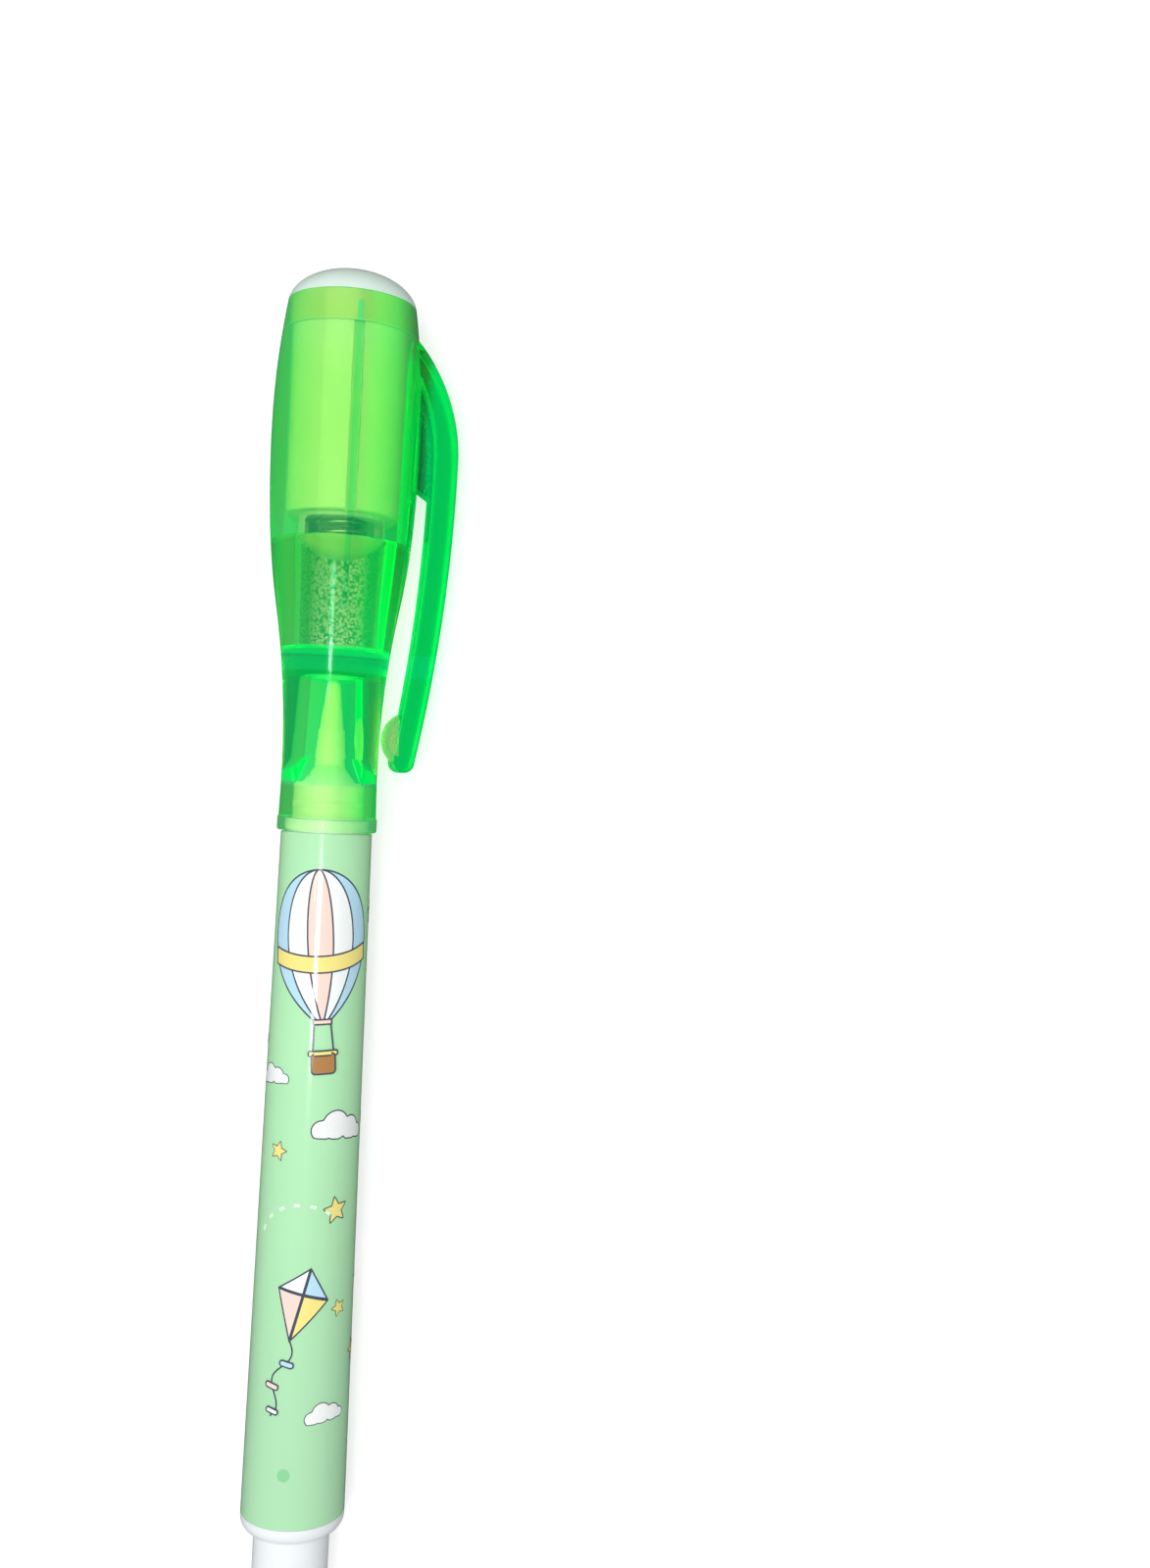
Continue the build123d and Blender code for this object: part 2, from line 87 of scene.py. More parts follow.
camTurn = Matrix((camRight, camUp, toLens)).transposed().to_4x4()
photoCamera.matrix_world = Matrix.Translation(camSpot) @ camTurn
scene.camera = photoCamera
print("camera stands", [round(v, 4) for v in camSpot])


# shader helpers
def newFinish(name, **plain):
    made = bpy.data.materials.new(name)
    made.use_nodes = True
    shader = made.node_tree.nodes["Principled BSDF"]
    for socket, value in plain.items():
        shader.inputs[socket.replace("_", " ")].default_value = value
    return made, made.node_tree, shader


def feed(tree, value, socket):  # a number or a colour sets the socket, anything else is wired in
    if isinstance(value, (int, float, tuple)):
        socket.default_value = value
    else:
        tree.links.new(value, socket)


def sums(tree, operation, first, second=0.0):
    made = tree.nodes.new("ShaderNodeMath")
    made.operation = operation
    feed(tree, first, made.inputs[0])
    feed(tree, second, made.inputs[1])
    return made.outputs[0]


def largest(tree, *values):
    made = values[0]
    for other in values[1:]:
        made = sums(tree, "MAXIMUM", made, other)
    return made


def ramp(tree, value, low, high, toLow=0.0, toHigh=1.0):
    made = tree.nodes.new("ShaderNodeMapRange")
    made.interpolation_type = "SMOOTHSTEP"
    for socket, given in zip(made.inputs, (value, low, high, toLow, toHigh)):
        feed(tree, given, socket)
    return made.outputs["Result"]


def mixNode(tree, kind, share, first, second):
    made = tree.nodes.new("ShaderNodeMix")
    made.data_type = kind
    firstSlot, secondSlot, outSlot = {"FLOAT": (2, 3, 0), "RGBA": (6, 7, 2)}[kind]
    feed(tree, share, made.inputs[0])
    feed(tree, first, made.inputs[firstSlot])
    feed(tree, second, made.inputs[secondSlot])
    return made.outputs[outSlot]


def blendValue(tree, share, first, second):
    return mixNode(tree, "FLOAT", share, first, second)


def blendColor(tree, share, first, second):
    return mixNode(tree, "RGBA", share, first, second)


# floor and light: a white sweep for the camera, dimmer in what the pen mirrors and lets through
studio = {
    "floorSize": 6.0,
    "floorTone": (0.42, 0.42, 0.42, 1.0),
    "floorWhite": 0.66,  # the sweep's own brightness near the pen
    "sweepFrom": 0.10,  # from here to there, in metres, it turns to the room's white
    "sweepTo": 0.55,
    "floorBounce": (0.55, 0.55, 0.55, 1.0),  # on dull surfaces
    "floorThrough": (0.06, 0.06, 0.06, 1.0),  # in gloss and through clear plastic
    "roomSeen": 0.97,
    "roomSoft": (0.60, 0.30),  # on dull surfaces, at the horizon and overhead
    "roomGloss": (0.17, 0.28),  # in gloss
    "roomThrough": (0.07, 0.16),  # through clear plastic
    "roomRise": (-0.1, 1.0),  # height of the look, from the horizon to overhead
    "floorRough": 0.7,
    "white": (1.0, 1.0, 1.0, 1.0),
    "black": (0.0, 0.0, 0.0, 1.0),
    # spot across, toward the lens and along, size across and along, watts, and whether gloss shows it
    # or else clear plastic lets it through
    "lamps": {
        "keySoft": ((-0.06, 0.40, 0.02), (0.45, 0.45), 1.72, False),
        "streakSoft": ((-0.01, 0.40, -0.054), (0.05, 0.064), 0.23, True),
    },
}
scene.view_settings.view_transform = "Standard"
scene.cycles.transmission_bounces = 16
scene.cycles.max_bounces = 20


bpy.ops.object.select_all(action="DESELECT")
bpy.ops.mesh.primitive_plane_add(size=studio["floorSize"], location=(0, 0, 0))
floor = bpy.context.object
floor.name = "floor"
paper, paperTree, paperShader = newFinish(
    "palePaper",
    Emission_Color=studio["white"],
    Roughness=studio["floorRough"],
)
paperRays = paperTree.nodes.new("ShaderNodeLightPath")
paperSeen = paperRays.outputs["Is Camera Ray"]
isDull = paperRays.outputs["Is Diffuse Ray"]
paperTone = blendColor(paperTree, isDull, studio["floorThrough"], studio["floorBounce"])
paperReach = paperTree.nodes.new("ShaderNodeVectorMath")
paperReach.operation = "LENGTH"
paperPlace = paperTree.nodes.new("ShaderNodeTexCoord")
paperTree.links.new(paperPlace.outputs["Object"], paperReach.inputs[0])
paperFar = ramp(paperTree, paperReach.outputs["Value"], studio["sweepFrom"], studio["sweepTo"])
nearTone = blendColor(paperTree, paperFar, studio["floorTone"], studio["black"])
nearWhite = blendValue(paperTree, paperFar, studio["floorWhite"], studio["roomSeen"])
paperBase = blendColor(paperTree, paperSeen, paperTone, nearTone)
paperGlow = blendValue(paperTree, paperSeen, 0.0, nearWhite)
paperTree.links.new(paperBase, paperShader.inputs["Base Color"])
paperTree.links.new(paperGlow, paperShader.inputs["Emission Strength"])
floor.data.materials.append(paper)

room = bpy.data.worlds.new("softRoom")
room.use_nodes = True
roomTree = room.node_tree
sky = roomTree.nodes["Background"]
sky.inputs["Color"].default_value = studio["white"]
roomPlace = roomTree.nodes.new("ShaderNodeTexCoord")
roomSplit = roomTree.nodes.new("ShaderNodeSeparateXYZ")
roomTree.links.new(roomPlace.outputs["Generated"], roomSplit.inputs["Vector"])
roomRays = roomTree.nodes.new("ShaderNodeLightPath")
rises = []
for low, high in (studio["roomSoft"], studio["roomGloss"], studio["roomThrough"]):
    rise = roomTree.nodes.new("ShaderNodeMapRange")
    for socket, given in zip(rise.inputs, (roomSplit.outputs["Z"], *studio["roomRise"], low, high)):
        feed(roomTree, given, socket)
    rises.append(rise.outputs["Result"])
onDull, inGlossy, through = rises
roomGlow = blendValue(roomTree, roomRays.outputs["Is Diffuse Ray"], inGlossy, onDull)
roomGlow = blendValue(roomTree, roomRays.outputs["Is Transmission Ray"], roomGlow, through)
roomGlow = blendValue(roomTree, roomRays.outputs["Is Camera Ray"], roomGlow, studio["roomSeen"])
roomTree.links.new(roomGlow, sky.inputs["Strength"])
scene.world = room

for lampName, (spot, size, watts, inGloss) in studio["lamps"].items():
    lampData = bpy.data.lights.new(lampName, "AREA")
    lampData.shape = "RECTANGLE"
    lampData.size, lampData.size_y = size
    lampData.energy = watts
    lampObject = bpy.data.objects.new(lampName, lampData)
    scene.collection.objects.link(lampObject)
    lampPlace = rim + across * spot[0] + toLens * spot[1] + lampWay * spot[2]
    lampObject.location = lampPlace
    lampObject.visible_glossy = inGloss
    lampObject.visible_transmission = not inGloss
    lampObject.rotation_mode = "QUATERNION"
    lampBack = (lampPlace - rim).normalized()
    lampSide = lampWay.cross(lampBack).normalized()
    lampTurn = Matrix((lampSide, lampBack.cross(lampSide), lampBack)).transposed()
    lampObject.rotation_quaternion = lampTurn.to_quaternion()
print("floor and lamps stand")


def groupNode(tree, group, **values):
    made = tree.nodes.new("ShaderNodeGroup")
    made.node_tree = group
    for socket, value in values.items():
        feed(tree, value, made.inputs[socket])
    return made


def newGroup(name, inputs, outputs):
    group = bpy.data.node_groups.new(name, "ShaderNodeTree")
    for label in inputs:
        group.interface.new_socket(label, in_out="INPUT", socket_type="NodeSocketFloat")
    for label, kind in outputs.items():
        group.interface.new_socket(label, in_out="OUTPUT", socket_type=kind)
    return group, group.nodes.new("NodeGroupInput"), group.nodes.new("NodeGroupOutput")


# bench millimetres on any piece: across to the clip, side, along to the lamp, and the radius
def makeBenchPlace():
    group, _, out = newGroup(
        "benchPlace",
        (),
        {
            "Place": "NodeSocketVector",
            "Across": "NodeSocketFloat",
            "Side": "NodeSocketFloat",
            "Along": "NodeSocketFloat",
            "Radius": "NodeSocketFloat",
            "Around": "NodeSocketFloat",
        },
    )
    spot = group.nodes.new("ShaderNodeTexCoord")
    lay = group.nodes.new("ShaderNodeMapping")
    lay.vector_type = "TEXTURE"
    lay.inputs["Location"].default_value = rim
    lay.inputs["Rotation"].default_value = benchTurn.to_euler("XYZ")
    lay.inputs["Scale"].default_value = (0.001, 0.001, 0.001)
    parts = group.nodes.new("ShaderNodeSeparateXYZ")
    group.links.new(spot.outputs["Object"], lay.inputs["Vector"])
    group.links.new(lay.outputs["Vector"], parts.inputs["Vector"])
    x, y, z = parts.outputs
    square = sums(group, "ADD", sums(group, "MULTIPLY", x, x), sums(group, "MULTIPLY", y, y))
    radius = sums(group, "SQRT", square)
    for label, source in (
        ("Place", lay.outputs["Vector"]),
        ("Across", x),
        ("Side", y),
        ("Along", z),
        ("Radius", radius),
        ("Around", sums(group, "ARCTAN2", y, x)),
    ):
        group.links.new(source, out.inputs[label])
    return group


# one where a value lies between two limits, with soft ends
def makeSoftBand():
    group, given, out = newGroup("softBand", ("Value", "Low", "High", "Soft"), {"Mask": "NodeSocketFloat"})
    value, low, high, soft = given.outputs[:4]
    rise = ramp(group, value, sums(group, "SUBTRACT", low, soft), sums(group, "ADD", low, soft))
    fall = ramp(group, value, sums(group, "SUBTRACT", high, soft), sums(group, "ADD", high, soft), 1.0, 0.0)
    group.links.new(sums(group, "MULTIPLY", rise, fall), out.inputs["Mask"])
    return group


# slow flow marks and fine grain of a moulding
def makeMouldMarks():
    group, given, out = newGroup(
        "mouldMarks",
        ("FlowScale", "GrainScale"),
        {"Flow": "NodeSocketFloat", "Grain": "NodeSocketFloat"},
    )
    bench = groupNode(group, benchPlace)
    for label, detail in (("Flow", 3.0), ("Grain", 2.0)):
        cloud = group.nodes.new("ShaderNodeTexNoise")
        cloud.inputs["Detail"].default_value = detail
        group.links.new(bench.outputs["Place"], cloud.inputs["Vector"])
        group.links.new(given.outputs[label + "Scale"], cloud.inputs["Scale"])
        group.links.new(cloud.outputs["Fac"], out.inputs[label])
    return group


benchPlace = makeBenchPlace()
softBand = makeSoftBand()
mouldMarks = makeMouldMarks()
print("shared shader groups made")


def band(tree, value, low, high, soft):
    return groupNode(tree, softBand, Value=value, Low=low, High=high, Soft=soft).outputs["Mask"]


def bump(tree, shader, height, distance, strength):
    made = tree.nodes.new("ShaderNodeBump")
    feed(tree, height, made.inputs["Height"])
    made.inputs["Distance"].default_value = distance
    feed(tree, strength, made.inputs["Strength"])
    tree.links.new(made.outputs["Normal"], shader.inputs["Normal"])


def spread(tree, value, middle, reach):  # roughness that varies about its middle with a noise
    return ramp(tree, value, 0.2, 0.8, middle - reach, middle + reach)


def wear(names, finish):  # puts a finish on CAD nodes
    for piece in names.split():
        cad[piece].material_slots[0].material = finish


# clear green moulding of the cap: smooth outside, spark texture in the well, the web and the clip pad
greenCap = {
    "bodyTint": (0.98, 1.0, 0.96, 1.0),
    "clipTint": (0.005, 1.0, 0.80, 1.0),
    "wallTint": (0.03, 1.0, 0.90, 1.0),
    # painted shade: the recessed web between the clip and the body tinted dark
    "webPaintedShade": (0.10, 0.35, 0.20, 1.0),
    "padTint": (1.0, 1.0, 0.8, 1.0),
    # painted shade: the rib tinted darker green for the shade of the groove behind it
    "ribPaintedShade": (0.34, 0.88, 0.82, 1.0),
    "skirtTint": (0.90, 0.84, 0.50, 1.0),
    "pitPaintedShade": (0.10, 0.28, 0.18, 1.0),  # painted shade between the grains of the texture
    "grainTint": (1.0, 1.0, 1.0, 1.0),
    "sheenTint": (0.03, 0.30, 0.16, 1.0),
    "bodyPaintedGlow": (0.0, 0.192, 0.060, 1.0),  # painted glow all over, standing in for the fluorescent dye lit by the lamps
    "litSidePaintedGlow": (0.0, 0.267, 0.079, 1.0),  # painted light: glow brighter on the side of the key light
    "middlePaintedGlow": (0.0, 0.300, 0.068, 1.0),  # painted light: glow between the rib and the other side
    "dimSidePaintedGlow": (0.0, 0.110, 0.030, 1.0),  # painted shade: glow dimmer on the other side, away from the key light
    "nibLitSidePaintedGlow": (0.0, 0.290, 0.121, 1.0),  # the same painted light and shade round the nib
    "nibDimSidePaintedGlow": (0.0, 0.225, 0.104, 1.0),
    # painted glow of the rim, the clip, the wall, the pad and the well
    "rimPaintedGlow": (0.012, 0.20, 0.085, 1.0),
    "clipPaintedGlow": (0.0, 0.390, 0.121, 1.0),
    "wallPaintedGlow": (0.0, 0.417, 0.175, 1.0),
    "padPaintedGlow": (0.22, 0.36, 0.19, 1.0),
    "grainPaintedHighlight": (0.66, 0.58, 0.66, 1.0),  # painted highlight: whitish glow on the grains toward the middle of the panel, where the key light falls
    "wellPaintedGlow": (0.0, 0.08, 0.03, 1.0),
    "paintedLightStrength": 0.6,
    "dye": (0.78, 0.97, 0.14, 1.0),
    "dyeDensity": 500.0,
    "smooth": 0.035,
    "smoothReach": 0.015,
    "gloss": 0.42,
    "wellGloss": 0.08,  # over the well, round the nib and on the clip
    "glossRough": 0.12,
    "wellHaze": 0.10,  # roughness of the outside over the textured well
    "overWell": (18.85, 27.55, 0.8),  # along from, along to, soft end
    "clipDull": 0.34,
    "frost": 0.30,
    "cellsPerMm": 3.6,
    "cellDeep": 0.00009,
    "cellBump": 0.9,
    "cellEdge": (0.15, 0.75),  # from the grain to the pit between grains
    "facing": 97.0,  # opposite the textured panel, degrees back from the clip
    "panelEdge": (-0.25, -0.32),  # cosine of the way round, where the panel starts
    "grainHighlightEdge": (-0.60, -1.0),  # the same, where the painted highlight on the grains starts and is full
    # across, where the painted glow of the lit, middle and dim sides sets in
    "litAcross": (-3.0, -6.0),
    "sideAcross": (1.2, 4.3, 0.8),  # from, to, soft end
    "dimAcross": (4.2, 6.5),
    "nibAcross": (-2.5, 2.5),  # from the lit to the dim side of the nib's painted glow
    "well": (18.25, 29.15, 4.85),  # along from, along to, radius under
    "rim": 1.6,  # along under
    "nibFrom": 4.6,
    "wall": (15.9, 18.2),  # solid wall between the two wells
    "clip": ((8.0, 5.7), (30.0, 7.5)),  # along, and across from where it is clip
    "web": (30.0, 49.5, 7.25, 1.25),  # along from, along to, across over, side under
    "pad": ((7.92, 0.0, 9.6), 2.95, 5.02, 6.55),  # middle, reach, across from and to
    "rib": (22.4, 52.0, 0.31, 6.2),  # along from, along to, across under, radius under
    "skirt": 50.0,  # along over
}


def makeGreenCap():
    s = greenCap
    finish, tree, shader = newFinish(
        "greenCapPaintedGlow",
        Transmission_Weight=1.0,
        IOR=1.5,
        Specular_Tint=s["sheenTint"],
        Emission_Strength=s["paintedLightStrength"],
        Coat_Roughness=s["glossRough"],
    )
    bench = groupNode(tree, benchPlace)
    across, side, along = (bench.outputs[k] for k in ("Across", "Side", "Along"))
    radius, around = bench.outputs["Radius"], bench.outputs["Around"]

    def both(*masks):
        made = masks[0]
        for other in masks[1:]:
            made = sums(tree, "MULTIPLY", made, other)
        return made

    def under(value, limit, soft=0.1):
        return ramp(tree, value, limit, limit - soft)

    def between(value, low, high, soft=0.1):
        return band(tree, value, low, high, soft)

    acrossAbs = sums(tree, "ABSOLUTE", across)
    sideAbs = sums(tree, "ABSOLUTE", side)
    facing = sums(tree, "COSINE", sums(tree, "ADD", around, math.radians(s["facing"])))
    panel = ramp(tree, facing, *s["panelEdge"])
    wellFrom, wellTo, wellRadius = s["well"]
    well = both(between(along, wellFrom, wellTo, 0.05), under(radius, wellRadius), panel)
    webFrom, webTo, webAcross, webSide = s["web"]
    web = both(
        between(along, webFrom, webTo),
        ramp(tree, across, webAcross, webAcross + 0.1),
        under(sideAbs, webSide),
    )
    ribFrom, ribTo, ribAcross, ribRadius = s["rib"]
    rib = both(
        between(along, ribFrom, ribTo),
        under(acrossAbs, ribAcross, 0.04),
        under(side, 0.0),
        under(radius, ribRadius),
    )
    skirt = ramp(tree, along, s["skirt"] - 0.05, s["skirt"] + 0.05)
    gap = tree.nodes.new("ShaderNodeVectorMath")
    gap.operation = "DISTANCE"
    tree.links.new(bench.outputs["Place"], gap.inputs[0])
    padMiddle, padReach, padFrom, padTo = s["pad"]
    gap.inputs[1].default_value = padMiddle
    pad = both(under(gap.outputs["Value"], padReach, 0.05), between(across, padFrom, padTo, 0.03))
    (lowZ, lowX), (highZ, highX) = s["clip"]
    clipFrom = ramp(tree, along, lowZ, highZ, lowX, highX)
    clip = ramp(tree, sums(tree, "SUBTRACT", across, clipFrom), 0.0, 1.0)
    wallFrom, wallTo = s["wall"]
    wall = between(along, wallFrom, wallTo, 0.15)
    textured = largest(tree, well, web, pad)
    cells = tree.nodes.new("ShaderNodeTexVoronoi")
    cells.inputs["Scale"].default_value = s["cellsPerMm"]
    tree.links.new(bench.outputs["Place"], cells.inputs["Vector"])
    pit = ramp(tree, cells.outputs["Distance"], *s["cellEdge"])
    # grains of the well, with painted shade in the pits between them
    grain = blendColor(tree, pit, s["grainTint"], s["pitPaintedShade"])
    # painted highlight: grains toward the middle of the panel made to glow whitish
    grainHighlightShare = both(well, ramp(tree, facing, *s["grainHighlightEdge"]), ramp(tree, pit, 1.0, 0.0))
    nibEnd = between(along, s["nibFrom"], wallFrom, 0.3)

    # colour of the plastic, the later ones over the earlier ones
    tint = s["bodyTint"]
    for share, shade in (
        (clip, s["clipTint"]),
        (wall, s["wallTint"]),
        (skirt, s["skirtTint"]),
        (well, grain),
        (rib, s["ribPaintedShade"]),
        (web, s["webPaintedShade"]),
        (pad, s["padTint"]),
    ):
        tint = blendColor(tree, share, tint, shade)
    tree.links.new(tint, shader.inputs["Base Color"])

    # its painted glow, in the same way: emission that stands in for light on the plastic
    nibPaintedGlow = blendColor(tree, ramp(tree, across, *s["nibAcross"]), s["nibLitSidePaintedGlow"], s["nibDimSidePaintedGlow"])
    paintedGlow = s["bodyPaintedGlow"]
    for share, shade in (
        (ramp(tree, across, *s["litAcross"]), s["litSidePaintedGlow"]),
        (between(across, *s["sideAcross"]), s["middlePaintedGlow"]),
        (ramp(tree, across, *s["dimAcross"]), s["dimSidePaintedGlow"]),
        (nibEnd, nibPaintedGlow),
        (under(along, s["rim"]), s["rimPaintedGlow"]),
        (clip, s["clipPaintedGlow"]),
        (wall, s["wallPaintedGlow"]),
        (pad, s["padPaintedGlow"]),
        (well, s["wellPaintedGlow"]),
        (grainHighlightShare, s["grainPaintedHighlight"]),
    ):
        paintedGlow = blendColor(tree, share, paintedGlow, shade)
    tree.links.new(paintedGlow, shader.inputs["Emission Color"])

    # gloss and roughness
    overWell = between(along, *s["overWell"])
    gloss = ramp(tree, largest(tree, overWell, nibEnd, clip), 0.0, 1.0, s["gloss"], s["wellGloss"])
    tree.links.new(gloss, shader.inputs["Coat Weight"])
    marks = groupNode(tree, mouldMarks, FlowScale=0.25, GrainScale=9.0)
    smoothLow, smoothHigh = s["smooth"] - s["smoothReach"], s["smooth"] + s["smoothReach"]
    outside = ramp(tree, radius, wellRadius, wellRadius + 0.1)
    rough = largest(
        tree,
        ramp(tree, marks.outputs["Flow"], 0.0, 1.0, smoothLow, smoothHigh),
        sums(tree, "MULTIPLY", textured, s["frost"]),
        sums(tree, "MULTIPLY", clip, s["clipDull"]),
        sums(tree, "MULTIPLY", both(overWell, outside), s["wellHaze"]),
    )
    tree.links.new(rough, shader.inputs["Roughness"])
    height = sums(tree, "MULTIPLY", cells.outputs["Distance"], textured)
    bump(tree, shader, height, s["cellDeep"], s["cellBump"])
    dye = tree.nodes.new("ShaderNodeVolumeAbsorption")
    dye.inputs["Color"].default_value = s["dye"]
    dye.inputs["Density"].default_value = s["dyeDensity"]
    tree.links.new(dye.outputs["Volume"], tree.nodes["Material Output"].inputs["Volume"])
    return finish


wear("cap_shell", makeGreenCap())
print("cap shell finished")


# opaque mouldings
whites = {
    "shellWhite": {
        "nodes": "tail_plug lamp_button",
        "color": (0.80, 0.83, 0.85, 1.0),
        "shade": (0.76, 0.80, 0.82, 1.0),
        "rough": 0.34,
    },
    "barrelWhite": {
        "nodes": "barrel",
        "color": (0.92, 0.89, 0.90, 1.0),
        "shade": (0.88, 0.86, 0.87, 1.0),
        "rough": 0.34,
    },
    "tubeWhite": {
        "nodes": "lamp_tube",
        "color": (0.67, 0.75, 0.55, 1.0),
        "shade": (0.63, 0.71, 0.51, 1.0),
        "rough": 0.42,
    },
    # painted light: the dome's white carries a green cast standing in for light from the green cap
    "domeGreenLitWhite": {
        "nodes": "lamp_dome",
        "color": (0.65, 0.79, 0.71, 1.0),
        "shade": (0.62, 0.76, 0.68, 1.0),
        "rough": 0.30,
    },
}
whiteSkin = {"roughReach": 0.06, "bumpDeep": 0.000004, "bumpStrong": 0.5}
bossPaintedShade = {"from": 31.7, "to": 31.4, "color": (0.52, 0.54, 0.58, 1.0)}  # along, painted shade on the cup under the tube
for whiteName, s in whites.items():
    finish, tree, shader = newFinish(whiteName, IOR=1.49)
    marks = groupNode(tree, mouldMarks, FlowScale=0.35, GrainScale=14.0)
    tone = blendColor(tree, marks.outputs["Flow"], s["color"], s["shade"])
    if whiteName == "tubeWhite":
        along = groupNode(tree, benchPlace).outputs["Along"]
        # painted shade: the cup under the tube darker
        bossShadeShare = ramp(tree, along, bossPaintedShade["from"], bossPaintedShade["to"])
        tone = blendColor(tree, bossShadeShare, tone, bossPaintedShade["color"])
    tree.links.new(tone, shader.inputs["Base Color"])
    rough = spread(tree, marks.outputs["Grain"], s["rough"], whiteSkin["roughReach"])
    tree.links.new(rough, shader.inputs["Roughness"])
    bump(tree, shader, marks.outputs["Grain"], whiteSkin["bumpDeep"], whiteSkin["bumpStrong"])
    wear(s["nodes"], finish)
print("white mouldings finished")


# printed film round the barrel
film = {
    "color": (0.425, 0.775, 0.45, 1.0),
    "shade": (0.39, 0.73, 0.415, 1.0),
    "tailShade": (0.39, 0.69, 0.42, 1.0),
    "tailFrom": -20.0,  # along
    "tailTo": -62.0,
    "seamAt": 83.0,  # degrees round from the clip
    "seamHalf": 0.9,
    "seamSoft": 0.004,  # radians
    "rough": 0.14,
    "roughReach": 0.03,
    "grainShare": 0.1,  # of the seam's height
    "bumpDeep": 0.00003,
    "bumpStrong": 0.4,
}


def makeFilm():
    s = film
    finish, tree, shader = newFinish("filmFinish", IOR=1.5)
    bench = groupNode(tree, benchPlace)
    marks = groupNode(tree, mouldMarks, FlowScale=0.12, GrainScale=6.0)
    tone = blendColor(tree, marks.outputs["Flow"], s["color"], s["shade"])
    tail = ramp(tree, bench.outputs["Along"], s["tailFrom"], s["tailTo"])
    tone = blendColor(tree, tail, tone, s["tailShade"])
    seamFrom, seamTo = (math.radians(s["seamAt"] + k * s["seamHalf"]) for k in (-1, 1))
    seam = band(tree, bench.outputs["Around"], seamFrom, seamTo, s["seamSoft"])
    tone = blendColor(tree, seam, tone, s["tailShade"])
    tree.links.new(tone, shader.inputs["Base Color"])
    rough = spread(tree, marks.outputs["Flow"], s["rough"], s["roughReach"])
    tree.links.new(rough, shader.inputs["Roughness"])
    skin = sums(tree, "ADD", sums(tree, "MULTIPLY", marks.outputs["Grain"], s["grainShare"]), seam)
    bump(tree, shader, skin, s["bumpDeep"], s["bumpStrong"])
    return finish


wear("print_film", makeFilm())

# inks of the print
inks = {
    "inkLine": (0.060, 0.075, 0.110),
    "inkWhite": (0.86, 0.90, 0.89),
    "inkBlue": (0.46, 0.71, 0.85),
    "inkPeach": (0.90, 0.66, 0.58),
    "inkYellow": (0.86, 0.75, 0.24),
    "inkBrown": (0.42, 0.21, 0.07),
    "inkMint": (0.70, 0.93, 0.72),
    "inkMark": (0.255, 0.62, 0.315),
}
inkSkin = {"thin": 0.94, "rough": 0.14, "roughReach": 0.03}
inkFinish = {}
for inkName, tone in inks.items():
    finish, tree, shader = newFinish(inkName, IOR=1.5)
    marks = groupNode(tree, mouldMarks, FlowScale=0.5, GrainScale=5.0)
    thin = tuple(inkSkin["thin"] * v for v in tone) + (1.0,)
    laid = blendColor(tree, marks.outputs["Grain"], thin, tone + (1.0,))
    tree.links.new(laid, shader.inputs["Base Color"])
    rough = spread(tree, marks.outputs["Flow"], inkSkin["rough"], inkSkin["roughReach"])
    tree.links.new(rough, shader.inputs["Roughness"])
    inkFinish[inkName] = finish
inkOrder = list(inks)

# motifs of the print, drawn flat in millimetres: right round the barrel, up to the lamp
motifs = {
    "lineWide": 0.13,
    "cut": 0.5,  # a motif is cut this often, to bend round the barrel
    "layer": 0.014,  # each ink lies on the one before
    "inkThick": 0.012,
    "filmEnds": ((-0.1, 4.55), (-68.4, 5.20)),  # along and radius
    "facing": -97.0,  # middle of the print, degrees from the clip
    "places": (  # motif, degrees from the middle, along, turn, size
        ("balloon", -1, -10.2, 4, 1.28),
        ("cloud", 36, -29.4, -4, 1.0),
        ("cloud", -58, -24.5, 6, 0.7),
        ("trail", -14, -36.6, 8, 1.0),
        ("star", 34, -37.2, 10, 0.85),
        ("star", -40, -31.5, -14, 0.62),
        ("kite", -2, -46.0, -14, 1.15),
        ("star", 44, -47.0, 20, 0.55),
        ("cloud", 32, -57.5, 3, 0.70),
        ("mark", -12, -63.0, 0, 1.0),
        ("balloon", 130, -44.0, -6, 0.72),
        ("kite", 122, -13.0, 22, 0.85),
        ("cloud", 118, -29.0, -5, 0.85),
        ("star", 92, -8.0, 0, 0.8),
        ("star", 150, -27.0, 16, 0.6),
        ("balloon", 232, -20.5, 8, 0.66),
        ("cloud", 226, -37.0, 4, 0.75),
        ("star", 206, -8.0, -9, 0.7),
        ("trail", 236, -47.5, 14, 0.85),
        ("star", 222, -55.0, 5, 0.55),
        ("star", 80, -52.0, 12, 0.7),
    ),
}


def roundBox(wide, high, corner, midX=0.0, midY=0.0):
    points = []
    for k in range(24):
        a = 2.0 * math.pi * (k + 0.5) / 24
        px = math.copysign(wide / 2 - corner, math.cos(a)) + corner * math.cos(a)
        py = math.copysign(high / 2 - corner, math.sin(a)) + corner * math.sin(a)
        points.append((midX + px, midY + py))
    return points


def stroke(path, wide):  # a line of that width along a path
    left, right = [], []
    for k, (px, py) in enumerate(path):
        beforeX, beforeY = path[max(k - 1, 0)]
        afterX, afterY = path[min(k + 1, len(path) - 1)]
        runX, runY = afterX - beforeX, afterY - beforeY
        run = math.hypot(runX, runY)
        left.append((px - runY / run * wide / 2, py + runX / run * wide / 2))
        right.append((px + runY / run * wide / 2, py - runX / run * wide / 2))
    return right + left[::-1]


